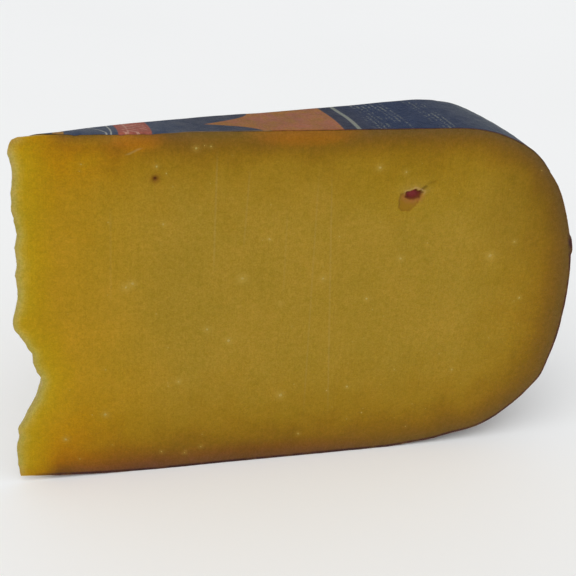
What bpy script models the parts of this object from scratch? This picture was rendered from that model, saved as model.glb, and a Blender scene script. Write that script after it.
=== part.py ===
"""A wedge cut from a large aged cheese wheel, standing on its base, with the printed label on its top.

The wheel is turned about its own axis, a knife takes the wedge out of it, and the thin end is broken off.
Metres, +Z up. The origin is at the middle of the wedge's box, on the surface it stands on; +X runs from the
broken thin end to the rim, and the two cut faces look to -Y and +Y.
"""

import math

import bmesh
import bpy
from mathutils import Matrix, Vector

MM = 0.001

# The wheel: flat top and base, joined by a full rounded rim
WHEEL_RADIUS = 0.179
WHEEL_HEIGHT = 0.115
WIDEST_HEIGHT = 0.049
TOP_FLAT_RADIUS = 0.128
BASE_FLAT_RADIUS = 0.122
TOP_FULLNESS = 2.3  # 2 would be an ellipse, more is squarer
BASE_FULLNESS = 2.47
SHOULDER_STEPS = 24
WHEEL_STEPS = 240

# The cut: both knife planes meet a little behind the wheel's axis
WEDGE_ANGLE = math.radians(12)
APEX_BEHIND_AXIS = 0.005
CUT_MARGIN = 0.02  # how far a cutter stands out of what it cuts

# The broken thin end, from top to base: (height, distance from the wheel's axis) in millimetres
TIP_BREAK = (
    (115, 1.7),
    (114.4, 0.3),
    (113.6, -0.4),
    (112.9, -0.7),
    (111.2, -0.9),
    (106.7, 0),
    (103.1, 0.1),
    (99.5, -0.4),
    (93.1, -0.5),
    (85.4, 0.8),
    (80.8, 0),
    (75.9, 0.5),
    (72, -0.1),
    (67, 0.4),
    (64, 0.3),
    (57, -1.3),
    (56, -1.4),
    (53.9, -0.8),
    (49.4, 2),
    (48, 2.4),
    (45.7, 3.8),
    (44.6, 4.1),
    (41.4, 4.3),
    (39.1, 5.1),
    (36.7, 6.3),
    (35.6, 6.6),
    (29.3, 4.8),
    (26.2, 3.2),
    (24.2, 2),
    (22, 1.2),
    (18.9, -0.7),
    (17.7, -1),
    (15.4, -0.7),
    (10.8, -1.7),
    (5, -1.4),
    (3.8, -1.3),
    (2.5, -1),
    (0, -0.3),
)
TIP_REACH = -min(distance for _, distance in TIP_BREAK) * MM

# The eye opened by the front cut: (distance from the wheel's axis, height), then half width, depth, half height
EYE_HOLLOW = ((0.1185, 0.0940), (0.0029, 0.0040, 0.0020))
EYE_POCKET = ((0.1163, 0.0906), (0.0029, 0.0012, 0.0028))

# The label lies on the top and over the shoulder, down to LABEL_END_HEIGHT
LABEL_START_RADIUS = 0.009
LABEL_END_HEIGHT = 0.100
LABEL_THICKNESS = 0.0004
LABEL_GAP = 0.0003

AXIS_X = (TIP_REACH - WHEEL_RADIUS) / 2


def clear_scene():
    for obj in list(bpy.data.objects):
        bpy.data.objects.remove(obj, do_unlink=True)


def make_collection(name):
    collection = bpy.data.collections.new(name)
    bpy.context.scene.collection.children.link(collection)
    return collection


def make_material(name, colour, roughness, metallic=0.0):
    material = bpy.data.materials.new(name)
    material.use_nodes = True
    shader = material.node_tree.nodes["Principled BSDF"]
    shader.inputs["Base Color"].default_value = (*colour, 1.0)
    shader.inputs["Roughness"].default_value = roughness
    shader.inputs["Metallic"].default_value = metallic
    material.diffuse_color = (*colour, 1.0)
    return material


def make_cutter(obj, collection):
    obj.hide_render = True
    obj.display_type = "WIRE"
    collection.objects.link(obj)
    return obj


def shoulder(flat_radius, flat_height, fullness):
    """Profile points from the end of a flat face out to the rim's widest line."""
    points = []
    for step in range(SHOULDER_STEPS + 1):
        turn = math.pi / 2 * step / SHOULDER_STEPS
        across = max(math.sin(turn), 0.0) ** (2 / fullness)
        along = max(math.cos(turn), 0.0) ** (2 / fullness)
        radius = flat_radius + (WHEEL_RADIUS - flat_radius) * across
        height = WIDEST_HEIGHT + (flat_height - WIDEST_HEIGHT) * along
        points.append(Vector((radius, 0.0, height)))
    return points


def wheel_profile():
    """Half section of the wheel, from the middle of its top down to the middle of its base."""
    top = [Vector((0.0, 0.0, WHEEL_HEIGHT))] + shoulder(TOP_FLAT_RADIUS, WHEEL_HEIGHT, TOP_FULLNESS)
    base = [Vector((0.0, 0.0, 0.0))] + shoulder(BASE_FLAT_RADIUS, 0.0, BASE_FULLNESS)
    return top + base[-2::-1]


def label_profile():
    """The stretch of the wheel's profile that the label covers, moved out by the gap."""
    covered = [Vector((LABEL_START_RADIUS, 0.0, WHEEL_HEIGHT))]
    for point in shoulder(TOP_FLAT_RADIUS, WHEEL_HEIGHT, TOP_FULLNESS):
        if point.z < LABEL_END_HEIGHT:
            start = covered[-1]
            covered.append(start.lerp(point, (start.z - LABEL_END_HEIGHT) / (start.z - point.z)))
            break
        covered.append(point)
    moved = []
    for index, point in enumerate(covered):
        before = covered[max(index - 1, 0)]
        after = covered[min(index + 1, len(covered) - 1)]
        run = (after - before).normalized()
        moved.append(point + LABEL_GAP * Vector((-run.z, 0.0, run.x)))
    return moved


def turn_about_axis(name, points, material):
    """An object on the wheel's axis whose profile is turned all the way round by a Screw modifier."""
    mesh = bpy.data.meshes.new(name)
    profile = bmesh.new()
    verts = [profile.verts.new(point) for point in points]
    for start, end in zip(verts, verts[1:]):
        profile.edges.new((start, end))
    profile.to_mesh(mesh)
    profile.free()
    mesh.materials.append(material)
    obj = bpy.data.objects.new(name, mesh)
    obj.location.x = AXIS_X
    screw = obj.modifiers.new("Turn", "SCREW")
    screw.axis = "Z"
    screw.angle = math.tau
    screw.steps = WHEEL_STEPS
    screw.render_steps = WHEEL_STEPS
    screw.use_merge_vertices = True
    screw.merge_threshold = 0.00001
    screw.use_smooth_shade = True
    return obj


def outline_solid(name, points, half_depth):
    """A closed mesh from a flat outline, filled and extruded to both sides of it."""
    curve = bpy.data.curves.new(name, "CURVE")
    curve.dimensions = "2D"
    curve.fill_mode = "BOTH"
    curve.extrude = half_depth
    spline = curve.splines.new("POLY")
    spline.points.add(len(points) - 1)
    for target, (x, y) in zip(spline.points, points):
        target.co = (x, y, 0.0, 1.0)
    spline.use_cyclic_u = True
    source = bpy.data.objects.new(name + "_outline", curve)
    bpy.context.scene.collection.objects.link(source)
    graph = bpy.context.evaluated_depsgraph_get()
    mesh = bpy.data.meshes.new_from_object(source.evaluated_get(graph))
    mesh.name = name
    solid = bmesh.new()
    solid.from_mesh(mesh)
    bmesh.ops.remove_doubles(solid, verts=solid.verts, dist=0.00001)
    bmesh.ops.recalc_face_normals(solid, faces=solid.faces)
    solid.to_mesh(mesh)
    solid.free()
    bpy.data.objects.remove(source, do_unlink=True)
    return bpy.data.objects.new(name, mesh)


def make_knife(collection):
    """The space between the two knife planes, as a tall prism."""
    length = APEX_BEHIND_AXIS + WHEEL_RADIUS + CUT_MARGIN
    half_width = length * math.tan(WEDGE_ANGLE / 2)
    outline = ((0.0, 0.0), (length, -half_width), (length, half_width))
    knife = outline_solid("knife", outline, WHEEL_HEIGHT / 2 + CUT_MARGIN)
    knife.location = (AXIS_X - APEX_BEHIND_AXIS, 0.0, WHEEL_HEIGHT / 2)
    return make_cutter(knife, collection)


def make_tip_break(collection):
    """What is missing at the thin end: everything on the far side of the jagged outline."""
    outline = [(distance * MM, height * MM) for height, distance in TIP_BREAK]
    top_distance, base_distance = outline[0][0], outline[-1][0]
    outline.insert(0, (top_distance, WHEEL_HEIGHT + CUT_MARGIN))
    outline.append((base_distance, -CUT_MARGIN))
    outline += [(-CUT_MARGIN, -CUT_MARGIN), (-CUT_MARGIN, WHEEL_HEIGHT + CUT_MARGIN)]
    tip = outline_solid("tip_break", outline, CUT_MARGIN)
    tip.location.x = AXIS_X
    tip.rotation_euler.x = math.pi / 2
    return make_cutter(tip, collection)


def make_eye_cutter(name, place, half_sizes, collection):
    """An oval hollow centred on the front cut face."""
    distance, height = place
    mesh = bpy.data.meshes.new(name)
    ball = bmesh.new()
    bmesh.ops.create_uvsphere(ball, u_segments=20, v_segments=12, radius=1.0)
    bmesh.ops.transform(ball, matrix=Matrix.Diagonal((*half_sizes, 1.0)), verts=ball.verts)
    ball.to_mesh(mesh)
    ball.free()
    obj = bpy.data.objects.new(name, mesh)
    across = -(distance + APEX_BEHIND_AXIS) * math.tan(WEDGE_ANGLE / 2)
    obj.location = (AXIS_X + distance, across, height)
    obj.rotation_euler.z = -WEDGE_ANGLE / 2
    return make_cutter(obj, collection)


def cut(obj, cutter, operation):
    boolean = obj.modifiers.new(cutter.name, "BOOLEAN")
    boolean.operation = operation
    boolean.solver = "EXACT"
    boolean.object = cutter


def make_cheese(collection, knife, tip_break, eyes):
    material = make_material("aged_cheese", (0.60, 0.37, 0.07), 0.45)
    cheese = turn_about_axis("cheese", wheel_profile(), material)
    collection.objects.link(cheese)
    cut(cheese, knife, "INTERSECT")
    cut(cheese, tip_break, "DIFFERENCE")
    for eye in eyes:
        cut(cheese, eye, "DIFFERENCE")


def make_label(collection, knife):
    material = make_material("printed_label", (0.10, 0.14, 0.26), 0.5)
    label = turn_about_axis("top_label", label_profile(), material)
    collection.objects.link(label)
    skin = label.modifiers.new("Skin", "SOLIDIFY")
    skin.thickness = LABEL_THICKNESS
    skin.offset = 1.0
    cut(label, knife, "INTERSECT")


def main():
    clear_scene()
    parts = make_collection("cheese_wedge")
    cutters = make_collection("cutters")
    knife = make_knife(cutters)
    tip_break = make_tip_break(cutters)
    eyes = [
        make_eye_cutter("eye_hollow", *EYE_HOLLOW, cutters),
        make_eye_cutter("eye_pocket", *EYE_POCKET, cutters),
    ]
    make_cheese(parts, knife, tip_break, eyes)
    make_label(parts, knife)


main()
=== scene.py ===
# A wedge of aged cheese with its rind, crystals and printed label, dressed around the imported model.
# Lengths are in millimetres until a finished mesh is scaled to metres.

import math
import random

import bmesh
import bpy
import numpy as np
from mathutils import Matrix, Vector, noise


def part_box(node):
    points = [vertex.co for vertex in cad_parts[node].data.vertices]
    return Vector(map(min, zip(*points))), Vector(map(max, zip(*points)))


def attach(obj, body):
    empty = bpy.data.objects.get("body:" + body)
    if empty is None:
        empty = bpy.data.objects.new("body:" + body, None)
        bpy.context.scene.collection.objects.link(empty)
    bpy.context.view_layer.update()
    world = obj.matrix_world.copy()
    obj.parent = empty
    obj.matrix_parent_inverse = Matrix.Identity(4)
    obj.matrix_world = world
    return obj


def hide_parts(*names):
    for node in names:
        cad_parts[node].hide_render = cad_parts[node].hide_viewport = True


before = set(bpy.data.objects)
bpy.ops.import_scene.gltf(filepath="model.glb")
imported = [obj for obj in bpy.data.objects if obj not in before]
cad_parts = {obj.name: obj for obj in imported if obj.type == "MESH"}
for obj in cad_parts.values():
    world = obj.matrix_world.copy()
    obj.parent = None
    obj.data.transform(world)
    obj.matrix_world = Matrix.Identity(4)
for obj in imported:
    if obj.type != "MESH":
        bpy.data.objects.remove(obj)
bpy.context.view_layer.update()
mm = 0.001
scene = bpy.context.scene
print("frame loaded:", ", ".join(sorted(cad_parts)))

# The wheel that the wedge was cut from
wheel = {
    "radius": 179,
    "widestHeight": 49,
    "topFlatRadius": 128,
    "baseFlatRadius": 122,
    "topFullness": 2.3,  # 2 would be an ellipse, more is squarer
    "baseFullness": 2.47,
    "wedgeAngle": 12,  # degrees between the two cut faces
    "apexBehindAxis": 5,  # where the two cut faces would meet
    # how far the top dips and the base lifts at the middle, how far out that reaches, how sharply
    "topSink": (0.9, 15, 1.3),
    "baseSink": (2.3, 41, 1.9),
    # how much lower the top lies along the back cut, by distance from the middle
    "backDrop": (
        (0, 0.95),
        (13, 0.95),
        (22, 0.5),
        (35, 0.2),
        (60, 0.1),
        (74, 0.42),
        (105, 0.42),
        (118, 0.25),
        (128, 0.25),
        (137, 0.57),
        (147, 0.5),
        (162, 0),
    ),
    # dents and swellings of the rim: radius, height, width, push
    "dents": (
        (132, 0.6, 9, -0.85),
        (145, 2.8, 7, -1.1),
        (165, 14, 7, -0.4),
        (173.5, 25.5, 4.5, 0.75),
        (178, 40, 9, -0.15),
        (173, 84, 9, -0.42),
        (157, 106.5, 5, 0.3),
        (165, 101, 4, -0.12),
    ),
    "shoulderSteps": 60,
}
cheeseLow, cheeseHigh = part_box("cheese")
wheelHeight = cheeseHigh.z / mm
axisX = cheeseHigh.x / mm - wheel["radius"]
apexX = axisX - wheel["apexBehindAxis"]
halfAngle = math.radians(wheel["wedgeAngle"] / 2)
frontOut = Vector((-math.sin(halfAngle), -math.cos(halfAngle), 0))  # the front cut face looks this way
backOut = Vector((-math.sin(halfAngle), math.cos(halfAngle), 0))


# ---- small tools for meshes


def smoothStep(value, low, high):
    share = min(max((value - low) / (high - low), 0), 1)
    return share * share * (3 - 2 * share)


def shoulderLine(flatRadius, flatHeight, fullness):
    # from the end of a flat face out to the widest line of the rim
    line = []
    for step in range(wheel["shoulderSteps"] + 1):
        turn = math.pi / 2 * step / wheel["shoulderSteps"]
        across = max(math.sin(turn), 0) ** (2 / fullness)
        along = max(math.cos(turn), 0) ** (2 / fullness)
        radius = flatRadius + (wheel["radius"] - flatRadius) * across
        height = wheel["widestHeight"] + (flatHeight - wheel["widestHeight"]) * along
        line.append((radius, height))
    return line


def dented(line):
    # pushes an outline out or in around a few places
    moved = []
    for index, (radius, height) in enumerate(line):
        before = line[max(index - 1, 0)]
        after = line[min(index + 1, len(line) - 1)]
        run = Vector((after[0] - before[0], after[1] - before[1])).normalized()
        push = 0
        for dentRadius, dentHeight, width, amount in wheel["dents"]:
            gap = math.dist((radius, height), (dentRadius, dentHeight))
            push += amount * math.exp(-((gap / width) ** 2))
        moved.append((radius - run.y * push, max(height + run.x * push, 0)))
    return moved


topShoulder = shoulderLine(wheel["topFlatRadius"], wheelHeight, wheel["topFullness"])
baseShoulder = shoulderLine(wheel["baseFlatRadius"], 0, wheel["baseFullness"])
rimLine = dented(topShoulder + baseShoulder[-2::-1])
topShoulder = rimLine[: len(topShoulder)]


def sinkAt(distance, height):
    # the top comes down and the base goes up towards the middle of the wheel
    shift = 0
    for (depth, reach, power), share in (
        (wheel["topSink"], -height / wheelHeight),
        (wheel["baseSink"], 1 - height / wheelHeight),
    ):
        shift += depth * share * min(max(1 - distance / reach, 0), 1.05) ** power
    return shift


def backDrop(distance, turn, height):
    # the top lies a little lower along the back cut
    drop = np.interp(distance, *zip(*wheel["backDrop"]))
    return float(drop) * smoothStep(turn, -3, 6) * smoothStep(height, 90, wheelHeight)


def distanceToLine(points, line):
    # shortest distance from each point to a line of straight stretches
    points = np.asarray(points, float)
    nearest = np.full(len(points), np.inf)
    for start, end in zip(line, line[1:]):
        start = np.array(start, float)
        run = np.array(end, float) - start
        share = ((points - start) @ run) / max(run @ run, 1e-12)
        foot = start + np.clip(share, 0, 1)[:, None] * run
        nearest = np.minimum(nearest, np.hypot(*(points - foot).T))
    return nearest


def finishPiece(bm, name, materials, sharpAngle=None, values=None):
    # scales the mesh to metres and puts it in the scene; values are kept for the materials to read
    bmesh.ops.scale(bm, vec=(mm, mm, mm), verts=bm.verts)
    mesh = bpy.data.meshes.new(name)
    bm.to_mesh(mesh)
    bm.free()
    for material in materials:
        mesh.materials.append(material)
    for key, numbers in (values or {}).items():
        mesh.attributes.new(key, "FLOAT", "POINT").data.foreach_set("value", np.asarray(numbers, np.float32))
    mesh.shade_smooth()
    if sharpAngle:
        mesh.set_sharp_from_angle(angle=math.radians(sharpAngle))
    piece = bpy.data.objects.new(name, mesh)
    scene.collection.objects.link(piece)
    print(f"{name}: {len(mesh.polygons)} faces")
    return piece


# ---- small tools for materials


def newMaterial(name):
    material = bpy.data.materials.new(name)
    material.use_nodes = True
    tree = material.node_tree
    return material, tree, tree.nodes["Principled BSDF"]


def addNode(tree, kind, inputs=None, **settings):
    node = tree.nodes.new("ShaderNode" + kind)
    for key, value in settings.items():
        setattr(node, key, value)
    for key, value in (inputs or {}).items():
        if isinstance(value, bpy.types.NodeSocket):
            tree.links.new(value, node.inputs[key])
        else:
            node.inputs[key].default_value = value
    return node


def maths(tree, operation, first, second=0.0, third=0.0):
    return addNode(tree, "Math", {0: first, 1: second, 2: third}, operation=operation).outputs[0]


def spread(tree, value, fromLow, fromHigh, toLow=0.0, toHigh=1.0, smooth=False):
    # turns one range of numbers into another
    inputs = {"Value": value, "From Min": fromLow, "From Max": fromHigh, "To Min": toLow, "To Max": toHigh}
    kind = "SMOOTHSTEP" if smooth else "LINEAR"
    return addNode(tree, "MapRange", inputs, interpolation_type=kind).outputs["Result"]


def blendColour(tree, share, first, second, mode="MIX"):
    node = addNode(tree, "Mix", {0: share}, data_type="RGBA", blend_type=mode)
    for slot, colour in ((6, first), (7, second)):
        if isinstance(colour, bpy.types.NodeSocket):
            tree.links.new(colour, node.inputs[slot])
        else:
            node.inputs[slot].default_value = (*colour, 1)
    return node.outputs[2]


def colourBands(tree, value, stops, hard=False):
    # stops are (place from 0 to 1, colour)
    node = addNode(tree, "ValToRGB", {"Fac": value})
    bands = node.color_ramp
    bands.interpolation = "CONSTANT" if hard else "LINEAR"
    while len(bands.elements) < len(stops):
        bands.elements.new(1)
    for element, (place, colour) in zip(bands.elements, stops):
        element.position = place
        element.color = (*colour, 1)
    return node.outputs["Color"]


def stored(tree, name):
    return addNode(tree, "Attribute", attribute_name=name).outputs["Fac"]


def millimetres(tree):
    # the piece's own coordinates, in millimetres
    place = addNode(tree, "TexCoord").outputs["Object"]
    return addNode(tree, "Mapping", {"Vector": place, "Scale": (1 / mm, 1 / mm, 1 / mm)}).outputs[0]


def raised(tree, height, depth, strength=1.0):
    # a bump whose full height is depth millimetres
    inputs = {"Height": height, "Distance": depth * mm, "Strength": strength}
    return addNode(tree, "Bump", inputs).outputs["Normal"]


def newGroup(name, inputs, output):
    # a node group with named inputs (label, kind, value) and one named output (label, kind)
    group = bpy.data.node_groups.new(name, "ShaderNodeTree")
    for label, kind, value in inputs:
        socket = group.interface.new_socket(label, in_out="INPUT", socket_type="NodeSocket" + kind)
        socket.default_value = value
    group.interface.new_socket(output[0], in_out="OUTPUT", socket_type="NodeSocket" + output[1])
    entry = group.nodes.new("NodeGroupInput").outputs
    leave = group.nodes.new("NodeGroupOutput").inputs
    return group, entry, leave


def makeGrainGroup():
    # noise with lumps of a size in millimetres, from 0 to 1, pulled long by Stretch
    inputs = (
        ("Size", "Float", 1.0),
        ("Detail", "Float", 2.0),
        ("Roughness", "Float", 0.5),
        ("Stretch", "Vector", (1, 1, 1)),
        ("Low", "Float", 0.3),
        ("High", "Float", 0.7),
    )
    group, entry, leave = newGroup("grainPattern", inputs, ("Amount", "Float"))
    place = addNode(group, "TexCoord").outputs["Object"]
    stretched = addNode(group, "VectorMath", {0: place, 1: entry["Stretch"]}, operation="DIVIDE").outputs[0]
    frequency = maths(group, "DIVIDE", 1 / mm, entry["Size"])
    inputs = {"Vector": stretched, "Scale": frequency}
    inputs.update({"Detail": entry["Detail"], "Roughness": entry["Roughness"]})
    lumps = addNode(group, "TexNoise", inputs).outputs["Fac"]
    group.links.new(spread(group, lumps, entry["Low"], entry["High"]), leave["Amount"])
    return group


def makeMottleGroup():
    # varies a colour between a darker and a brighter tint of itself
    inputs = (
        ("Color", "Color", (1, 1, 1, 1)),
        ("Size", "Float", 1.0),
        ("Detail", "Float", 2.0),
        ("Stretch", "Vector", (1, 1, 1)),
        ("Darker", "Color", (0.9, 0.9, 0.9, 1)),
        ("Brighter", "Color", (1.1, 1.1, 1.1, 1)),
    )
    group, entry, leave = newGroup("mottledTint", inputs, ("Color", "Color"))
    sizes = {key: entry[key] for key in ("Size", "Detail", "Stretch")}
    lumps = addGroup(group, grainGroup, sizes)
    tint = blendColour(group, lumps, entry["Darker"], entry["Brighter"])
    group.links.new(blendColour(group, 1.0, entry["Color"], tint, "MULTIPLY"), leave["Color"])
    return group


def addGroup(tree, group, inputs):
    # places a group and gives back its one output
    node = addNode(tree, "Group", node_tree=group)
    for key, value in inputs.items():
        if isinstance(value, bpy.types.NodeSocket):
            tree.links.new(value, node.inputs[key])
        elif node.inputs[key].type == "RGBA":
            node.inputs[key].default_value = (*value, 1)
        else:
            node.inputs[key].default_value = value
    return node.outputs[0]


grainGroup = makeGrainGroup()
mottleGroup = makeMottleGroup()


def grain(tree, size, detail=2.0, rough=0.5, stretch=(1, 1, 1), low=0.3, high=0.7):
    inputs = {"Size": size, "Detail": detail, "Roughness": rough, "Stretch": stretch, "Low": low, "High": high}
    return addGroup(tree, grainGroup, inputs)


def mottle(tree, colour, size, darker, brighter, detail=2.0, stretch=(1, 1, 1)):
    inputs = {"Color": colour, "Size": size, "Detail": detail, "Stretch": stretch}
    inputs.update({"Darker": darker, "Brighter": brighter})
    return addGroup(tree, mottleGroup, inputs)


# ---- camera, lights and floor

view = {
    "lens": 68.75,
    "place": (-127.6, -286.0, 218.35),
    "heading": -23.37,  # degrees, turned from +Y
    "down": 27.07,
    "roll": 5.055,
}

studio = {
    "world": (0.96, 0.98, 1.0),
    "worldStrength": 0.55,
    "skyStrength": 0.86,  # what the camera sees beyond the floor
    "floor": (0.945, 0.945, 0.94),
    "floorSize": 6000,
    # where each soft light comes from, how wide it looks in degrees, and its strength
    "lights": (
        ("key", (-0.55, -0.62, 0.95), 60, 1.43),
        ("fill", (0.9, -0.4, 0.8), 80, 0.33),
    ),
}


def setCamera():
    camera = bpy.data.objects.new("camera", bpy.data.cameras.new("camera"))
    camera.data.lens = view["lens"]
    camera.data.clip_start = 0.01
    turn = Matrix.Rotation(math.radians(view["heading"]), 4, "Z")
    tilt = Matrix.Rotation(math.radians(90 - view["down"]), 4, "X")
    roll = Matrix.Rotation(math.radians(view["roll"]), 4, "Z")
    camera.matrix_world = Matrix.Translation(Vector(view["place"]) * mm) @ turn @ tilt @ roll
    scene.collection.objects.link(camera)
    scene.camera = camera


def setLights():
    world = bpy.data.worlds.new("studio")
    world.use_nodes = True
    background = world.node_tree.nodes["Background"]
    background.inputs["Color"].default_value = (*studio["world"], 1)
    seen = addNode(world.node_tree, "LightPath").outputs["Is Camera Ray"]
    strength = spread(world.node_tree, seen, 0, 1, studio["worldStrength"], studio["skyStrength"])
    world.node_tree.links.new(strength, background.inputs["Strength"])
    scene.world = world
    for name, source, width, strength in studio["lights"]:
        lamp = bpy.data.lights.new(name, "SUN")
        lamp.angle = math.radians(width)
        lamp.energy = strength
        light = bpy.data.objects.new(name, lamp)
        light.location = Vector(source)
        light.rotation_euler = Vector(source).to_track_quat("Z", "Y").to_euler()
        scene.collection.objects.link(light)


def setFloor():
    material, tree, shader = newMaterial("paleFloor")
    tint = tuple(c * 0.98 for c in studio["floor"])
    tree.links.new(blendColour(tree, grain(tree, 400), studio["floor"], tint), shader.inputs["Base Color"])
    shader.inputs["Roughness"].default_value = 0.9
    shader.inputs["Specular IOR Level"].default_value = 0.1
    bm = bmesh.new()
    bmesh.ops.create_grid(bm, x_segments=2, y_segments=2, size=studio["floorSize"] / 2)
    floor = finishPiece(bm, "floor", [material])


scene.view_settings.view_transform = "Standard"
setCamera()
setLights()
setFloor()
print("camera, lights and floor are set")

# ---- the cheese

cheese = {
    "gridStep": 0.9,  # size of the faces on the cut
    "spinSteps": 20,
    "mergeUnder": 0.12,
    "sharpAngle": 50,
    "cutWave": (0.10, 30),  # height and length of the cut's slow waves
    "cutGrain": (0.035, 1.6),
    "tearGrain": (0.22, 1.7),  # on the broken end
    "rindGrain": (0.10, 9),
    "tearSpacing": 0.6,
    "tearShift": 0.12,
}

# The broken thin end, from top to base: height, distance from the wheel's axis
breakLine = (
    (115.0, 1.7),
    (114.4, 0.3),
    (113.6, -0.4),
    (112.9, -0.7),
    (111.2, -0.9),
    (106.7, 0.0),
    (103.1, 0.1),
    (99.5, -0.4),
    (93.1, -0.5),
    (85.4, 0.8),
    (80.8, 0.0),
    (75.9, 0.5),
    (72.0, -0.1),
    (67.0, 0.4),
    (64.0, 0.3),
    (57.0, -1.3),
    (56.0, -1.4),
    (53.9, -0.8),
    (49.4, 2.0),
    (48.0, 2.4),
    (45.7, 3.8),
    (44.6, 4.1),
    (41.4, 4.3),
    (39.1, 5.1),
    (36.7, 6.3),
    (35.6, 6.6),
    (29.3, 4.8),
    (26.2, 3.2),
    (24.2, 2.0),
    (22.0, 1.2),
    (18.9, -0.7),
    (17.7, -1.0),
    (15.4, -0.7),
    (10.8, -1.6),
    (5.0, -1.4),
    (3.8, -1.3),
    (2.5, -1.1),
    (0.0, -0.9),
)

# The small eye that the front cut opened, by distance from the wheel's axis and height
eye = {
    "core": (
        (115.2, 93.0),
        (115.5, 94.9),
        (117.0, 95.4),
        (118.6, 95.9),
        (119.5, 95.3),
        (121.0, 94.8),
        (120.1, 92.7),
        (118.2, 91.9),
        (116.2, 92.3),
    ),
    "recess": (
        (113.8, 94.3),
        (116.0, 94.8),
        (120.0, 93.2),
        (119.6, 91.2),
        (118.3, 89.7),
        (116.7, 88.7),
        (114.7, 88.8),
        (113.6, 90.0),
    ),
    "coreDepth": (0.8, 1.5),  # at its rim and at its bottom
    "recessDepth": 0.5,
    "lipHeight": 0.16,
    # short cracks beyond the core: from, to, half width, strength
    "cracks": (((119.9, 95.2), (121.6, 96.5), 0.55, 1.0), ((122.9, 97.6), (124.3, 98.1), 0.5, 0.45)),
    "window": 9,  # half size of the part of the face with finer mesh
    "pinHole": (39.0, 101.3, 0.62, 3),  # distance, height, radius, half size of its finer mesh
}

# A low dark ridge of wax on the rim
ridge = {
    "height": 74.6,
    "halfWidth": 4.0,
    "proud": 0.85,
}


def tornLine():
    # the break with points added between its corners and shifted a little
    line = []
    for (topHeight, topDistance), (lowHeight, lowDistance) in zip(breakLine, breakLine[1:]):
        steps = max(1, round((topHeight - lowHeight) / cheese["tearSpacing"]))
        for step in range(steps):
            share = step / steps
            height = topHeight + (lowHeight - topHeight) * share
            distance = topDistance + (lowDistance - topDistance) * share
            if 2 < height < wheelHeight - 1.5:
                coarse = noise.noise((height / 2.3, 7.1, 0))
                fine = noise.noise((height / 0.8, 3.7, 5))
                distance += cheese["tearShift"] * (coarse + 0.7 * fine)
            line.append((distance, height))
    line.append((breakLine[-1][1], breakLine[-1][0]))
    return line


def insideDistance(x, z, corners):
    # how far a point is inside a closed outline, less than zero outside it
    inside = False
    nearest = 1e9
    for (ax, az), (bx, bz) in zip(corners, corners[1:] + corners[:1]):
        if (az > z) != (bz > z) and x < (bx - ax) * (z - az) / (bz - az) + ax:
            inside = not inside
        run = Vector((bx - ax, bz - az))
        offset = Vector((x - ax, z - az))
        share = min(max(offset.dot(run) / run.length_squared, 0), 1)
        nearest = min(nearest, (offset - run * share).length)
    return nearest if inside else -nearest


def eyeAt(x, z):
    # what the eye is like at a point of the front cut
    wander = 0.22 * noise.noise((x / 0.9, z / 0.9, 2))
    inCore = insideDistance(x, z, eye["core"]) + wander
    inRecess = insideDistance(x, z, eye["recess"]) + wander + 0.25 * noise.noise((x / 1.9, z / 1.9, 6))
    crack = 0
    for start, end, halfWidth, strength in eye["cracks"]:
        gap = distanceToLine([(x, z)], (start, end))[0] / halfWidth
        crack = max(crack, strength * math.exp(-gap * gap))
    above = smoothStep(z, 93.5, 95)
    beside = max(-inCore, 0)
    lumps = 0.6 + 0.9 * noise.noise((x / 0.8, z / 0.8, 9))
    return {
        "eyeCore": smoothStep(inCore, -0.2, 0.45),
        "eyeDeep": smoothStep(inCore, 0.35, 1.3),
        "eyeRecess": smoothStep(inRecess, -0.55, 0.6),
        # the raised lip above the core, which also carries a painted highlight
        "eyeLipAndHighlight": above * lumps * math.exp(-(((beside - 0.45) / 0.35) ** 2)),
        "eyeHalo": above * math.exp(-((beside / 2.2) ** 2)),
        "eyeBlush": (1 - above) * math.exp(-((beside / 1.1) ** 2)),
        "eyeCrack": crack,
    }


def eyeDepth(values):
    # how far the surface lies below the cut
    rimDepth, coreDepth = eye["coreDepth"]
    hollow = rimDepth * values["eyeCore"] + coreDepth * values["eyeDeep"]
    hollow += eye["recessDepth"] * values["eyeRecess"] * (1 - values["eyeCore"])
    return hollow + 0.25 * values["eyeCrack"] - eye["lipHeight"] * values["eyeLipAndHighlight"]


def cutIntoGrid(bm, step):
    # divides the flat section along and up into faces of about the same size
    for along, low, high in ((Vector((1, 0, 0)), cheeseLow.x, cheeseHigh.x), (Vector((0, 0, 1)), 0, cheeseHigh.z)):
        count = round((high - low) / mm / step)
        for line in range(1, count):
            place = (low / mm) + (high - low) / mm * line / count
            everything = bm.verts[:] + bm.edges[:] + bm.faces[:]
            bmesh.ops.bisect_plane(bm, geom=everything, dist=0.0001, plane_co=along * place, plane_no=along)


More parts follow.
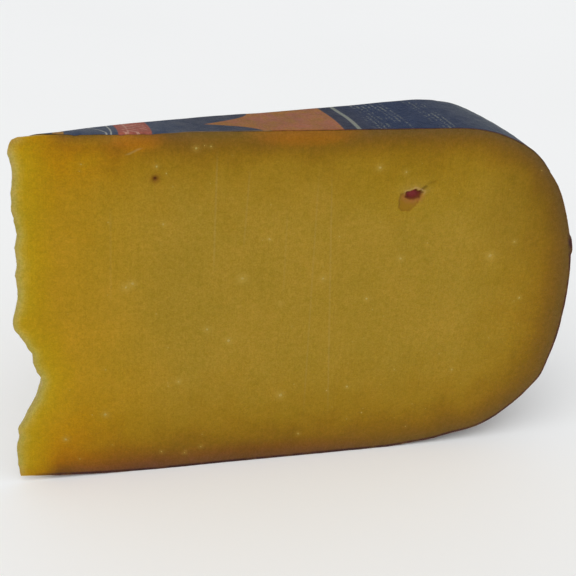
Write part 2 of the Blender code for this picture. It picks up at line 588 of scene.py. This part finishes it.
def makeCheese(materials, chalkAt):
    torn = tornLine()
    section = [(distance, height) for distance, height in torn] + [(r, z) for r, z in reversed(rimLine)]
    bm = bmesh.new()
    corners = [bm.verts.new((axisX + distance, 0, height)) for distance, height in section]
    bm.faces.new(corners)
    cutIntoGrid(bm, cheese["gridStep"])
    bmesh.ops.remove_doubles(bm, verts=bm.verts, dist=cheese["mergeUnder"])
    bmesh.ops.dissolve_degenerate(bm, edges=bm.edges, dist=0.01)
    apex = Vector((apexX, 0, 0))
    bmesh.ops.rotate(bm, cent=apex, matrix=Matrix.Rotation(-halfAngle, 3, "Z"), verts=bm.verts)
    bmesh.ops.spin(
        bm,
        geom=bm.verts[:] + bm.edges[:] + bm.faces[:],
        cent=apex,
        axis=(0, 0, 1),
        angle=2 * halfAngle,
        steps=cheese["spinSteps"],
    )
    bmesh.ops.recalc_face_normals(bm, faces=bm.faces)

    # finer faces around the eye, on the front cut only
    eyeX = axisX + sum(x for x, _ in eye["recess"]) / len(eye["recess"]) + 1.5
    eyeZ = sum(z for _, z in eye["recess"]) / len(eye["recess"]) + 1

    def onFront(point):
        return abs((point - apex).dot(frontOut)) < 0.001

    def nearEye(point):
        return abs(point.x - eyeX) < eye["window"] and abs(point.z - eyeZ) < eye["window"]

    def nearPin(point):
        return abs(point.x - axisX - pinX) < pinWindow and abs(point.z - pinZ) < pinWindow

    pinX, pinZ, pinSize, pinWindow = eye["pinHole"]
    for near in (nearEye, nearPin):
        fine = [edge for edge in bm.edges if all(near(v.co) and onFront(v.co) for v in edge.verts)]
        bmesh.ops.subdivide_edges(bm, edges=fine, cuts=3, use_grid_fill=True)

    # what the materials need to know about each point
    bm.verts.index_update()
    bm.normal_update()
    places = np.array([v.co[:] for v in bm.verts])
    radius = np.hypot(places[:, 0] - axisX, places[:, 1])
    outer = [(-30, wheelHeight)] + rimLine + [(-30, 0)]
    rindDepth = distanceToLine(np.column_stack((radius, places[:, 2])), outer)
    tipDepth = distanceToLine(np.column_stack((places[:, 0] - axisX, places[:, 2])), torn)
    eyeValues = {key: np.zeros(len(places)) for key in eyeAt(0, 0)}
    isFront = np.abs((places - np.array(apex)) @ np.array(frontOut)) < 0.001
    isBack = np.abs((places - np.array(apex)) @ np.array(backOut)) < 0.001
    chalk = np.zeros(len(places))
    for x, z, size, side in chalkAt:
        near = (isFront if side < 0 else isBack) & (np.abs(places[:, 2] - z) < 4)
        moved = sinkAt(x, z) - backDrop(x, side * wheel["wedgeAngle"] / 2, z)
        gap = np.hypot(places[near, 0] - axisX - x, places[near, 2] + moved - z)
        chalk[near] += np.exp(-((gap / (1.25 * size)) ** 2)) * min(size, 1)

    # the rind, the paste and the break take different materials
    bm.faces.ensure_lookup_table()
    for face in bm.faces:
        onCut = abs(face.normal.dot(frontOut)) > 0.98 or abs(face.normal.dot(backOut)) > 0.98
        onBreak = all(tipDepth[v.index] < 0.2 for v in face.verts)
        face.material_index = 0 if onCut or onBreak else 1

    # the fine unevenness of every surface
    waveHeight, waveLength = cheese["cutWave"]
    grainHeight, grainLength = cheese["cutGrain"]
    tearHeight, tearLength = cheese["tearGrain"]
    rindHeight, rindLength = cheese["rindGrain"]
    for v in bm.verts:
        i = v.index
        place = v.co.copy()
        thin = smoothStep(place.x - apexX, 5, 30)  # less of it where the wedge is thin
        shift = v.normal * waveHeight * thin * noise.noise(place / waveLength)
        shift += v.normal * grainHeight * noise.noise(place / grainLength)
        if tipDepth[i] < 2.5 and not isFront[i] and not isBack[i]:
            shift.x += tearHeight * noise.noise(place / tearLength)
        if rindDepth[i] < 0.1 and tipDepth[i] > 1:
            shift += v.normal * rindHeight * noise.noise(place / rindLength)
            shift += v.normal * 0.5 * rindHeight * noise.noise(place / (rindLength / 4))
        if radius[i] > 170:
            across = (place.z - ridge["height"]) / ridge["halfWidth"]
            wander = 0.8 + 0.5 * noise.noise((place.y / 7, 3, 1))
            swell = ridge["proud"] * wander * smoothStep(1 - abs(across), 0, 0.45) * math.exp(-rindDepth[i] / 1.5)
            shift += Vector((place.x - axisX, place.y, 0)).normalized() * swell
        if isFront[i] and nearPin(place):
            gap = math.hypot(place.x - axisX - pinX, place.z - pinZ) / pinSize
            eyeValues["eyeCore"][i] = math.exp(-gap * gap)
            eyeValues["eyeRecess"][i] = math.exp(-((gap / 1.9) ** 2))
            shift -= frontOut * eye["coreDepth"][0] * math.exp(-gap * gap)
        if isFront[i] and nearEye(place):
            here = eyeAt(place.x - axisX, place.z)
            for key, value in here.items():
                eyeValues[key][i] = value
            shift -= frontOut * eyeDepth(here)
        v.co = place + shift
        v.co.z = max(v.co.z, 0)
        turn = math.degrees(math.atan2(place.y, place.x - apexX))
        v.co.z += sinkAt(place.x - axisX, place.z) - backDrop(place.x - axisX, turn, place.z)

    values = {"rindDepth": rindDepth, "tipDepth": tipDepth, "chalk": np.minimum(chalk, 1), **eyeValues}
    openEdges = sum(1 for e in bm.edges if len(e.link_faces) != 2)
    print("cheese edges without two faces:", openEdges)
    return finishPiece(bm, "cheeseBody", materials, cheese["sharpAngle"], values)


# ---- crystals in the paste

crystals = {
    # the largest ones on the front cut: distance from the wheel's axis, height, size
    "main": (
        (105.9, 103.1, 0.9),
        (114.5, 101.5, 0.7),
        (159.6, 100.9, 0.35),
        (116.5, 72.5, 0.9),
        (147.1, 72, 1.3),
        (154.8, 76.6, 0.8),
        (91.7, 66.8, 0.9),
        (73.7, 81, 0.7),
        (66.2, 68.2, 1.3),
        (33.1, 68.4, 0.9),
        (31.1, 67.2, 1.1),
        (41.6, 87.2, 0.7),
        (39.3, 105, 0.7),
        (50.3, 110.3, 0.8),
        (52.6, 111.0, 0.45),
        (54.5, 110.8, 0.6),
        (78.8, 58.8, 0.8),
        (63.1, 46.7, 1.0),
        (47.9, 33, 0.9),
        (81.4, 24.9, 1.2),
        (25.3, 22.9, 0.9),
        (13.1, 14.8, 0.85),
        (43.2, 6.8, 0.6),
        (50.7, 5.6, 0.6),
        (56, 7.4, 0.6),
        (56.1, 51.2, 0.9),
        (106.9, 58.8, 0.8),
        (160.4, 55.9, 0.7),
        (140.5, 29.7, 0.7),
        (103.8, 26.2, 0.7),
        (97, 25.3, 0.6),
        (88.7, 9.1, 0.7),
    ),
    "smallPerFace": 70,
    "mainOnBack": 26,
    "seed": 11,
}


def placeCrystals():
    # a list of (distance, height, size, side), with side -1 on the front cut and 1 on the back
    dice = random.Random(crystals["seed"])
    places = [(x, z, size, -1) for x, z, size in crystals["main"]]
    for side, large, small in ((-1, 0, crystals["smallPerFace"]), (1, crystals["mainOnBack"], crystals["smallPerFace"])):
        for number in range(large + small):
            x = dice.uniform(12, 165)
            z = dice.uniform(5, 108)
            size = dice.uniform(0.6, 1.3) if number < large else dice.uniform(0.2, 0.45)
            if side < 0 and abs(x - 117) < 6 and abs(z - 92) < 6:
                continue
            if insideDistance(x, z, [(0, 0), (0, wheelHeight)] + rimLine) > 5:
                places.append((x, z, size, side))
    return places


def makeCrystals(places, material):
    dice = random.Random(crystals["seed"] + 1)
    bm = bmesh.new()
    for x, z, size, side in places:
        out = frontOut if side < 0 else backOut
        across = side * (x + wheel["apexBehindAxis"]) * math.tan(halfAngle)
        centre = Vector((axisX + x, across, z)) - out * 0.02 * size
        turn = out.to_track_quat("Z", "Y").to_matrix().to_4x4()
        spin = Matrix.Rotation(dice.uniform(0, math.tau), 4, "Z")
        shape = (0.5 * size * dice.uniform(0.75, 1.15), 0.5 * size * dice.uniform(0.75, 1.15), 0.1 * size)
        matrix = Matrix.Translation(centre) @ turn @ spin @ Matrix.Diagonal((*shape, 1))
        lump = bmesh.ops.create_uvsphere(bm, u_segments=8, v_segments=5, radius=1, matrix=matrix)
        for v in lump["verts"]:
            v.co += (v.co - centre) * 0.35 * noise.noise(v.co / 0.35)
    bmesh.ops.recalc_face_normals(bm, faces=bm.faces)
    return finishPiece(bm, "crystals", [material])


# ---- the label

label = {
    "start": (3.2, 12),  # where it begins at the back and at the front cut
    "endHeight": 100,
    "thickness": 0.16,
    "gap": 0.04,
    "step": 0.8,
    "turnSteps": 32,
    "wrinkle": 0.12,
    "tuck": 0.16,  # how far its lower end sinks into the rind
    "hang": (0.45, 0.25),  # how far it hangs over the front cut, and how much more at the coral band
}


def labelLine():
    # the stretch of the wheel's outline under the label, as (radius, height)
    line = []
    flat = wheel["topFlatRadius"]
    first = 1.5
    count = round((flat - first) / label["step"])
    for step in range(count):
        line.append((first + (flat - first) * step / count, wheelHeight))
    for start, end in zip(topShoulder, topShoulder[1:]):
        pieces = max(1, round(math.dist(start, end) / label["step"]))
        for step in range(pieces):
            share = step / pieces
            height = start[1] + (end[1] - start[1]) * share
            if height < label["endHeight"]:
                return line
            line.append((start[0] + (end[0] - start[0]) * share, height))
    return line


def makeLabel(materials):
    line = labelLine()
    lengths = [0.0]
    for start, end in zip(line, line[1:]):
        lengths.append(lengths[-1] + math.dist(start, end))
    bm = bmesh.new()
    row = [bm.verts.new((axisX + radius, 0, height)) for radius, height in line]
    for start, end in zip(row, row[1:]):
        bm.edges.new((start, end))
    apex = Vector((apexX, 0, 0))
    bmesh.ops.rotate(bm, cent=apex, matrix=Matrix.Rotation(-halfAngle, 3, "Z"), verts=bm.verts)
    bmesh.ops.spin(
        bm,
        geom=bm.verts[:] + bm.edges[:],
        cent=apex,
        axis=(0, 0, 1),
        angle=2 * halfAngle,
        steps=label["turnSteps"],
    )
    # the slanting torn start
    backStart, frontStart = label["start"]
    backPoint = Vector((axisX + backStart, (backStart + 5) * math.tan(halfAngle), 0))
    frontPoint = Vector((axisX + frontStart, -(frontStart + 5) * math.tan(halfAngle), 0))
    slant = (backPoint - frontPoint).cross(Vector((0, 0, 1)))
    everything = bm.verts[:] + bm.edges[:] + bm.faces[:]
    if slant.x < 0:
        slant = -slant
    bmesh.ops.bisect_plane(bm, geom=everything, plane_co=frontPoint, plane_no=slant, clear_inner=True)
    bmesh.ops.remove_doubles(bm, verts=bm.verts, dist=0.02)
    bmesh.ops.recalc_face_normals(bm, faces=bm.faces)
    bm.normal_update()
    if sum(face.normal.z for face in bm.faces) < 0:
        bmesh.ops.reverse_faces(bm, faces=bm.faces)
        bm.normal_update()
    bm.verts.index_update()
    places = np.array([v.co[:] for v in bm.verts])
    radius = np.hypot(places[:, 0] - axisX, places[:, 1])
    turn = np.degrees(np.arctan2(places[:, 1], places[:, 0] - apexX))
    ring = np.interp(radius, [r for r, _ in line], np.array(lengths) + line[0][0])
    ringEnd = lengths[-1] + line[0][0]
    for v in bm.verts:
        i = v.index
        place = v.co.copy()
        rise = label["gap"] + label["wrinkle"] * 0.5 * (1 + noise.noise(place / 6))
        over = smoothStep(ring[i], 122, 145) * (1 - smoothStep(ring[i], 158, 167))
        ribs = math.sin(ring[i] / 1.1 + 2 * noise.noise(place / 9)) * noise.noise(place / 5)
        rise += over * label["wrinkle"] * 1.6 * max(ribs, -0.4)
        rise -= label["tuck"] * smoothStep(ring[i], ringEnd - 5, ringEnd)
        v.co = place + v.normal * rise
        v.co.z += sinkAt(place.x - axisX, place.z) - backDrop(place.x - axisX, turn[i], place.z)
        if turn[i] < 0.01 - wheel["wedgeAngle"] / 2:
            hang, more = label["hang"]
            hang *= smoothStep(ring[i], 11, 17) * (1 - smoothStep(ring[i], 38, 50))
            hang += more * smoothStep(ring[i], 28, 30) * (1 - smoothStep(ring[i], 36, 39))
            hang *= 0.85 + 0.5 * noise.noise(place / 2)
            v.co += frontOut * min(hang, 0.18) - Vector((0, 0, hang))
    values = {"ring": ring, "turn": turn}
    sheet = finishPiece(bm, "printedLabel", materials, None, values)
    skin = sheet.modifiers.new("thickness", "SOLIDIFY")
    skin.thickness = label["thickness"] * mm
    skin.offset = 1
    skin.material_offset_rim = 1
    return sheet


# ---- materials

paste = {
    # colour by depth under the rind in millimetres: in the thick part, at the thin end
    "byDepth": (
        (0.4, (0.146, 0.081, 0.0185), (0.180, 0.078, 0.0150)),
        (1.2, (0.152, 0.083, 0.0165), (0.206, 0.086, 0.0125)),
        (2.4, (0.166, 0.088, 0.0135), (0.249, 0.095, 0.0080)),
        (4.0, (0.188, 0.094, 0.0095), (0.303, 0.117, 0.0040)),
        (6.0, (0.207, 0.103, 0.0070), (0.353, 0.140, 0.0012)),
        (8.5, (0.234, 0.119, 0.0055), (0.386, 0.162, 0.0003)),
        (12.0, (0.270, 0.144, 0.0053), (0.403, 0.185, 0.0002)),
        (18.0, (0.310, 0.176, 0.0078), (0.410, 0.208, 0.0006)),
        (26.0, (0.330, 0.196, 0.0120), (0.411, 0.220, 0.0030)),
        (40.0, (0.347, 0.215, 0.0175), (0.420, 0.233, 0.0065)),
    ),
    "upperScale": 1.6,  # how much thinner the dark band is under the top
    # colour by distance from the break, and how much of it there is
    "byBreak": (
        (0.0, (0.37, 0.295, 0.075), 1.0),
        (1.0, (0.43, 0.335, 0.052), 1.0),
        (2.0, (0.44, 0.305, 0.020), 0.95),
        (3.4, (0.43, 0.280, 0.004), 0.85),
        (6.0, (0.416, 0.257, 0.002), 0.7),
        (13.0, (0.41, 0.24, 0.002), 0.0),
    ),
    "outline": (0.045, 0.018, 0.016),  # the dark line of rind along the cut
    "chalk": (0.50, 0.335, 0.060),
    "streak": (0.46, 0.34, 0.13),
    # soft spots of tint: distance, height, half width, half height, tint
    "spots": (
        (82, 116, 22, 7, (1.70, 1.30, 0.6)),
        (34, 114, 9, 5.5, (1.5, 1.26, 0.9)),
        (20, 115.5, 22, 5, (1.12, 1.27, 1.05)),
        (27, 115.5, 8, 4, (1.2, 1.18, 1.0)),
        (8, 2, 9, 6, (0.84, 0.84, 1.0)),
        (18, 110, 9, 7, (1.02, 1.12, 1.0)),
        (4, 30, 7, 13, (1.05, 1.08, 1.7)),
        (160, 90, 22, 26, (0.88, 0.89, 0.95)),
        (118, 98, 30, 16, (0.97, 0.97, 0.7)),
        (68, 0, 62, 9, (0.97, 0.76, 1.15)),
        (30, 4, 22, 9, (0.93, 0.86, 1.2)),
        (70, 118, 90, 7, (1.15, 1.10, 1.0)),
        (58, 115, 16, 4, (1.06, 1.12, 1.0)),
    ),
    # marks of the cutting wire: distance and height of the upper end, of the lower end, strength
    "wireMarks": (
        (56.4, 111, 57.2, 69, 0.12),
        (66.3, 105, 65.9, 77, 0.09),
        (87, 107, 90, 12, 0.09),
        (90.7, 107, 98.7, 11, 0.11),
        (26.5, 95, 26.8, 60, 0.06),
        (78.5, 92, 79.5, 60, 0.06),
        (35.2, 110.8, 30.5, 108.4, 0.3),
    ),
}


def wireMark(tree, x, z, mark):
    # a faint line on the cut that fades at both ends
    topX, topZ, lowX, lowZ, strength = mark
    lean = (topX - lowX) / (topZ - lowZ)
    fade = 0.2 * (topZ - lowZ)
    lineX = maths(tree, "MULTIPLY_ADD", z, lean, axisX + lowX - lean * lowZ)
    gap = maths(tree, "ABSOLUTE", maths(tree, "SUBTRACT", x, lineX))
    line = spread(tree, gap, 0.05, 0.5 * math.hypot(1, lean), strength, 0, True)
    foot = spread(tree, z, lowZ, lowZ + fade, 0, 1, True)
    head = spread(tree, z, topZ - fade, topZ, 1, 0, True)
    return maths(tree, "MULTIPLY", line, maths(tree, "MULTIPLY", foot, head))


def softSpot(tree, x, z, distance, height, halfWidth, halfHeight):
    # 1 in the middle of an oval on the cut, 0 outside it
    across = maths(tree, "MULTIPLY_ADD", x, 1 / halfWidth, -(axisX + distance) / halfWidth)
    along = maths(tree, "MULTIPLY_ADD", z, 1 / halfHeight, -height / halfHeight)
    square = maths(tree, "ADD", maths(tree, "POWER", across, 2.0), maths(tree, "POWER", along, 2.0))
    return spread(tree, square, 0, 1, 1, 0, True)


def makePaste():
    material, tree, shader = newMaterial("agedPaste")
    axes = addNode(tree, "SeparateXYZ", {0: millimetres(tree)}).outputs
    x, z = axes["X"], axes["Z"]
    rindDepth = stored(tree, "rindDepth")
    tipDepth = stored(tree, "tipDepth")

    # the paste darkens towards the rind, along an uneven front
    wander = spread(tree, grain(tree, 9, 3), 0, 1, 0.84, 1.18)
    upper = spread(tree, z, 60, 112, 1, paste["upperScale"], True)
    depth = maths(tree, "MULTIPLY", maths(tree, "MULTIPLY", rindDepth, wander), upper)
    depth = maths(tree, "ADD", depth, spread(tree, tipDepth, 1, 13, 9, 0, True))
    deepest = paste["byDepth"][-1][0]
    share = maths(tree, "DIVIDE", depth, deepest)
    thick = colourBands(tree, share, [(place / deepest, colour) for place, colour, _ in paste["byDepth"]])
    thin = colourBands(tree, share, [(place / deepest, colour) for place, _, colour in paste["byDepth"]])
    colour = blendColour(tree, spread(tree, tipDepth, 50, 3, 0, 1, True), thick, thin)
    for distance, height, halfWidth, halfHeight, tint in paste["spots"]:
        spot = softSpot(tree, x, z, distance, height, halfWidth, halfHeight)
        colour = blendColour(tree, spot, colour, tint, "MULTIPLY")

    # pale and crumbly along the break
    furthest = paste["byBreak"][-1][0]
    share = maths(tree, "DIVIDE", maths(tree, "MULTIPLY", tipDepth, wander), furthest)
    pale = colourBands(tree, share, [(place / furthest, tint) for place, tint, _ in paste["byBreak"]])
    amount = colourBands(tree, share, [(place / furthest, (much,) * 3) for place, _, much in paste["byBreak"]])
    middle = spread(tree, rindDepth, 0.5, 5, 0.6, 1, True)
    colour = blendColour(tree, maths(tree, "MULTIPLY", amount, middle), colour, pale)

    # the rind's dark line along the cut, broken in places
    broken = grain(tree, 6, 3, 0.6, low=0.32, high=0.5)
    reach = spread(tree, softSpot(tree, x, z, 178, ridge["height"], 12, 5.5), 0, 1, 0, 0.7)
    reach = maths(tree, "ADD", reach, spread(tree, z, 16, 4, 0.9, 1.3, True))
    line = maths(tree, "SUBTRACT", 1.0, maths(tree, "DIVIDE", rindDepth, reach))
    line = spread(tree, line, 0, 0.7, 0, 1, True)
    lower = maths(tree, "ADD", spread(tree, z, 79, 76, 0, 0.75), spread(tree, z, 108, 98, 0, 0.25))
    line = maths(tree, "MULTIPLY", maths(tree, "MULTIPLY", line, lower), spread(tree, broken, 0, 1, 0.4, 1))
    awayFromTip = spread(tree, tipDepth, 2, 12)
    colour = blendColour(tree, maths(tree, "MULTIPLY", line, awayFromTip), colour, paste["outline"])

    # soft mottling, a finer grain, and drag lines of the wire
    colour = mottle(tree, colour, 14, (0.95, 0.965, 0.88), (1.05, 1.035, 1.12), 3)
    colour = mottle(tree, colour, 1.3, (0.92, 0.94, 0.78), (1.08, 1.06, 1.22))
    colour = mottle(tree, colour, 0.45, (0.90, 0.90, 0.78), (1.10, 1.10, 1.22), 1)
    colour = mottle(tree, colour, 0.55, (0.975, 0.975, 0.96), (1.025, 1.025, 1.04), 3, (1, 1, 80))
    marks = 0.0
    for mark in paste["wireMarks"]:
        marks = maths(tree, "MAXIMUM", marks, wireMark(tree, x, z, mark))
    marks = maths(tree, "MULTIPLY", marks, spread(tree, axes["Y"], -0.2, -0.6))
    colour = blendColour(tree, marks, colour, paste["streak"])

    # chalky spots where crystals sit
    fuzz = spread(tree, grain(tree, 0.6), 0, 1, 0.3, 0.68)
    colour = blendColour(tree, maths(tree, "MULTIPLY", stored(tree, "chalk"), fuzz), colour, paste["chalk"])

    # the eye, from its recess to its bottom
    for key, (strength, tint) in eyeColours.items():
        if key == "eyeBrink":
            amount = spread(tree, maths(tree, "PINGPONG", stored(tree, "eyeRecess"), 0.5), 0, 0.4, 0, strength)
        else:
            amount = maths(tree, "MULTIPLY", stored(tree, key), strength)
        colour = blendColour(tree, amount, colour, tint)

    tree.links.new(colour, shader.inputs["Base Color"])
    tree.links.new(spread(tree, grain(tree, 3, 3), 0, 1, 0.45, 0.62), shader.inputs["Roughness"])
    shader.inputs["Specular IOR Level"].default_value = 0.08
    shader.inputs["Subsurface Weight"].default_value = 0.2
    shader.inputs["Subsurface Radius"].default_value = (1.0, 0.55, 0.15)
    shader.inputs["Subsurface Scale"].default_value = 0.004
    relief = maths(tree, "ADD", grain(tree, 0.7, 4, 0.6), maths(tree, "MULTIPLY", grain(tree, 0.55, 3, 0.6, (1, 1, 80)), 0.4))
    relief = maths(tree, "SUBTRACT", relief, marks)
    tree.links.new(raised(tree, relief, 0.10), shader.inputs["Normal"])
    return material


# how strongly each part of the eye is tinted, and its colour
eyeColours = {
    "eyeHalo": (0.3, (0.33, 0.235, 0.055)),
    "eyeRecess": (0.8, (0.285, 0.137, 0.007)),
    "eyeBrink": (0.5, (0.20, 0.090, 0.004)),  # along the outline of the recess
    "eyeBlush": (0.38, (0.36, 0.115, 0.050)),
    "eyeCrack": (0.85, (0.15, 0.080, 0.003)),
    # a pale painted highlight along the raised lip above the core
    "eyeLipAndHighlight": (0.75, (0.50, 0.31, 0.13)),
    # dark brown in the core and the pin hole, partly painted shade in the hollow
    "eyeCore": (1.0, (0.14, 0.036, 0.008)),
    "eyeDeep": (1.0, (0.34, 0.058, 0.058)),
}

rindLook = {
    "wax": (0.050, 0.025, 0.012),
    "worn": (0.13, 0.070, 0.024),
    "amber": (0.46, 0.27, 0.025),
    "scuff": (0.20, 0.14, 0.075),
}


def makeRind():
    material, tree, shader = newMaterial("waxedRind")
    patches = grain(tree, 16, 4, 0.6, low=0.38, high=0.66)
    colour = blendColour(tree, patches, rindLook["wax"], rindLook["worn"])
    scuffs = grain(tree, 3, 4, 0.7, (1, 1, 0.35), 0.6, 0.72)
    colour = blendColour(tree, maths(tree, "MULTIPLY", scuffs, 0.35), colour, rindLook["scuff"])
    # the middle of the wheel has only a thin amber skin
    tip = maths(tree, "MULTIPLY_ADD", patches, 4.0, stored(tree, "tipDepth"))
    colour = blendColour(tree, spread(tree, tip, 14, 6, 0, 1, True), colour, rindLook["amber"])
    colour = mottle(tree, colour, 2.2, (0.85, 0.85, 0.85), (1.15, 1.15, 1.15), 3)
    tree.links.new(colour, shader.inputs["Base Color"])
    tree.links.new(spread(tree, scuffs, 0, 1, 0.38, 0.6), shader.inputs["Roughness"])
    shader.inputs["Specular IOR Level"].default_value = 0.4
    tree.links.new(raised(tree, grain(tree, 1.3, 3, 0.6), 0.15), shader.inputs["Normal"])
    return material


def makeCrystalStuff():
    material, tree, shader = newMaterial("chalkyCrystal")
    bits = grain(tree, 0.4, 3)
    colour = blendColour(tree, bits, (0.41, 0.285, 0.055), (0.50, 0.36, 0.10))
    tree.links.new(colour, shader.inputs["Base Color"])
    tree.links.new(spread(tree, bits, 0, 1, 0.55, 0.8), shader.inputs["Roughness"])
    shader.inputs["Specular IOR Level"].default_value = 0.1
    shader.inputs["Subsurface Weight"].default_value = 0.3
    shader.inputs["Subsurface Scale"].default_value = 0.001
    tree.links.new(raised(tree, grain(tree, 0.2), 0.05), shader.inputs["Normal"])
    return material


ink = {
    # the blue ground, by distance along the label; its grey towards the shoulder is partly worn ink and partly
    # painted sheen
    "navy": (
        (0, (0.062, 0.073, 0.104)),
        (41, (0.058, 0.070, 0.102)),
        (50, (0.046, 0.054, 0.080)),
        (68, (0.045, 0.047, 0.068)),
        (90, (0.056, 0.068, 0.104)),
        (95, (0.030, 0.033, 0.054)),
        (99, (0.032, 0.038, 0.064)),
        (110, (0.018, 0.031, 0.073)),
        (126, (0.022, 0.034, 0.074)),
        (137, (0.036, 0.047, 0.078)),
        (150, (0.055, 0.070, 0.092)),
        (168, (0.072, 0.082, 0.092)),
    ),
    "tan": (0.30, 0.155, 0.040),
    "coral": (0.285, 0.085, 0.060),
    "coralHatch": (0.50, 0.30, 0.22),
    "orange": (0.280, 0.121, 0.031),
    "blush": (0.30, 0.110, 0.056),
    "pale": (0.20, 0.21, 0.18),
    "bright": (0.34, 0.34, 0.30),
    "worn": (0.10, 0.11, 0.10),
    # the paper's cut edge, by distance along the label
    "edge": (
        (0, (0.10, 0.06, 0.03)),
        (28.7, (0.32, 0.10, 0.05)),
        (38, (0.26, 0.17, 0.09)),
        (72, (0.34, 0.11, 0.03)),
        (94, (0.15, 0.06, 0.035)),
    ),
}


def ringMask(tree, ring, low, high, soft=0.15):
    inner = spread(tree, ring, low - soft, low + soft)
    outer = spread(tree, ring, high + soft, high - soft)
    return maths(tree, "MULTIPLY", inner, outer)


def repeatMask(tree, value, period, width):
    # 1 on evenly spaced lines, 0 between them
    wave = maths(tree, "PINGPONG", value, period / 2)
    return spread(tree, wave, width / 2 + 0.08, width / 2 - 0.08)


def makePrint():
    material, tree, shader = newMaterial("labelPrint")
    ring = stored(tree, "ring")
    turn = stored(tree, "turn")
    across = maths(tree, "MULTIPLY", ring, maths(tree, "MULTIPLY", turn, math.pi / 180))

    # blue ground with plain rings of colour; the ground's grey towards the shoulder is partly worn ink and partly
    # painted sheen
    share = maths(tree, "DIVIDE", ring, 180.0)
    colour = colourBands(tree, share, [(place / 180, tint) for place, tint in ink["navy"]])
    colour = mottle(tree, colour, 3.5, (0.78, 0.82, 0.90), (1.22, 1.16, 1.06), 3)
    for low, high, tint in ((11, 14, ink["tan"]), (28.7, 38, ink["coral"])):
        colour = blendColour(tree, ringMask(tree, ring, low, high), colour, tint)
    hatch = repeatMask(tree, maths(tree, "MULTIPLY_ADD", across, 1.6, ring), 2.6, 0.7)
    hatch = maths(tree, "MAXIMUM", hatch, ringMask(tree, ring, 31.2, 31.7))
    hatch = maths(tree, "MULTIPLY", hatch, ringMask(tree, ring, 30, 37))
    hatch = maths(tree, "MULTIPLY", hatch, grain(tree, 2.5, 2, low=0.35, high=0.5))
    colour = blendColour(tree, maths(tree, "MULTIPLY", hatch, 0.6), colour, ink["coralHatch"])

    # an orange ring with a scalloped inner edge
    petals = maths(tree, "ABSOLUTE", maths(tree, "SINE", maths(tree, "MULTIPLY_ADD", turn, math.pi / 13, 0.05)))
    edge = spread(tree, petals, 0, 1, 54, 70)
    orange = spread(tree, maths(tree, "SUBTRACT", ring, edge), -0.15, 0.15)
    orange = maths(tree, "MULTIPLY", orange, spread(tree, ring, 94.2, 93.8))
    warm = blendColour(tree, grain(tree, 4.5, 3, low=0.4, high=0.62), ink["orange"], ink["blush"])
    colour = blendColour(tree, orange, colour, warm)

    # fine pale lines, and two worn bands of flecks in rows
    slanted = maths(tree, "MULTIPLY_ADD", across, 0.8, ring)
    bright = maths(tree, "MAXIMUM", ringMask(tree, slanted, 23.2, 23.6), ringMask(tree, ring, 26.6, 27.0))
    bright = maths(tree, "MULTIPLY", bright, ringMask(tree, ring, 20, 28))
    colour = blendColour(tree, maths(tree, "MULTIPLY", bright, 0.8), colour, ink["bright"])
    colour = blendColour(tree, ringMask(tree, ring, 98.1, 99.4), colour, ink["pale"])
    rows = repeatMask(tree, ring, 1.7, 0.8)
    flecks = maths(tree, "MULTIPLY", rows, grain(tree, 0.8, 1, 0.5, low=0.48, high=0.56))
    bands = maths(tree, "MAXIMUM", ringMask(tree, ring, 104, 116, 1), ringMask(tree, ring, 124, 130, 1))
    bands = maths(tree, "MULTIPLY", bands, grain(tree, 6, 2, low=0.42, high=0.5))
    flecks = maths(tree, "MULTIPLY", maths(tree, "MULTIPLY", flecks, bands), 0.6)
    colour = blendColour(tree, flecks, colour, ink["pale"])

    # worn ink
    rub = grain(tree, 2.2, 5, 0.7, low=0.45, high=0.8)
    colour = blendColour(tree, maths(tree, "MULTIPLY", rub, 0.16), colour, ink["worn"])
    colour = mottle(tree, colour, 7, (0.90, 0.92, 0.95), (1.10, 1.07, 1.05), 3)
    colour = mottle(tree, colour, 0.6, (0.82, 0.84, 0.86), (1.18, 1.16, 1.14))
    tree.links.new(colour, shader.inputs["Base Color"])
    tree.links.new(spread(tree, rub, 0, 1, 0.45, 0.65), shader.inputs["Roughness"])
    shader.inputs["Specular IOR Level"].default_value = 0.05
    height = maths(tree, "MULTIPLY_ADD", grain(tree, 0.3), 0.3, grain(tree, 1.4, 4, 0.6))
    tree.links.new(raised(tree, height, 0.12), shader.inputs["Normal"])
    return material


def makePaperEdge():
    material, tree, shader = newMaterial("paperEdge")
    share = maths(tree, "DIVIDE", stored(tree, "ring"), 180.0)
    colour = colourBands(tree, share, [(place / 180, tint) for place, tint in ink["edge"]], True)
    bits = grain(tree, 2.5, 3)
    colour = mottle(tree, colour, 2.5, (0.5, 0.5, 0.5), (1.1, 1.1, 1.1), 3)
    tree.links.new(colour, shader.inputs["Base Color"])
    tree.links.new(spread(tree, bits, 0, 1, 0.6, 0.8), shader.inputs["Roughness"])
    shader.inputs["Specular IOR Level"].default_value = 0.15
    return material


# ---- everything together

crystalPlaces = placeCrystals()
pasteMaterial = makePaste()
rindMaterial = makeRind()
body = makeCheese([pasteMaterial, rindMaterial], crystalPlaces)
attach(body, "root")
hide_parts("cheese")
print("cheese is made")

crystalPiece = makeCrystals(crystalPlaces, makeCrystalStuff())
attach(crystalPiece, "root")
print("crystals are made")

labelPiece = makeLabel([makePrint(), makePaperEdge()])
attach(labelPiece, "root")
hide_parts("top_label")
print("label is made")
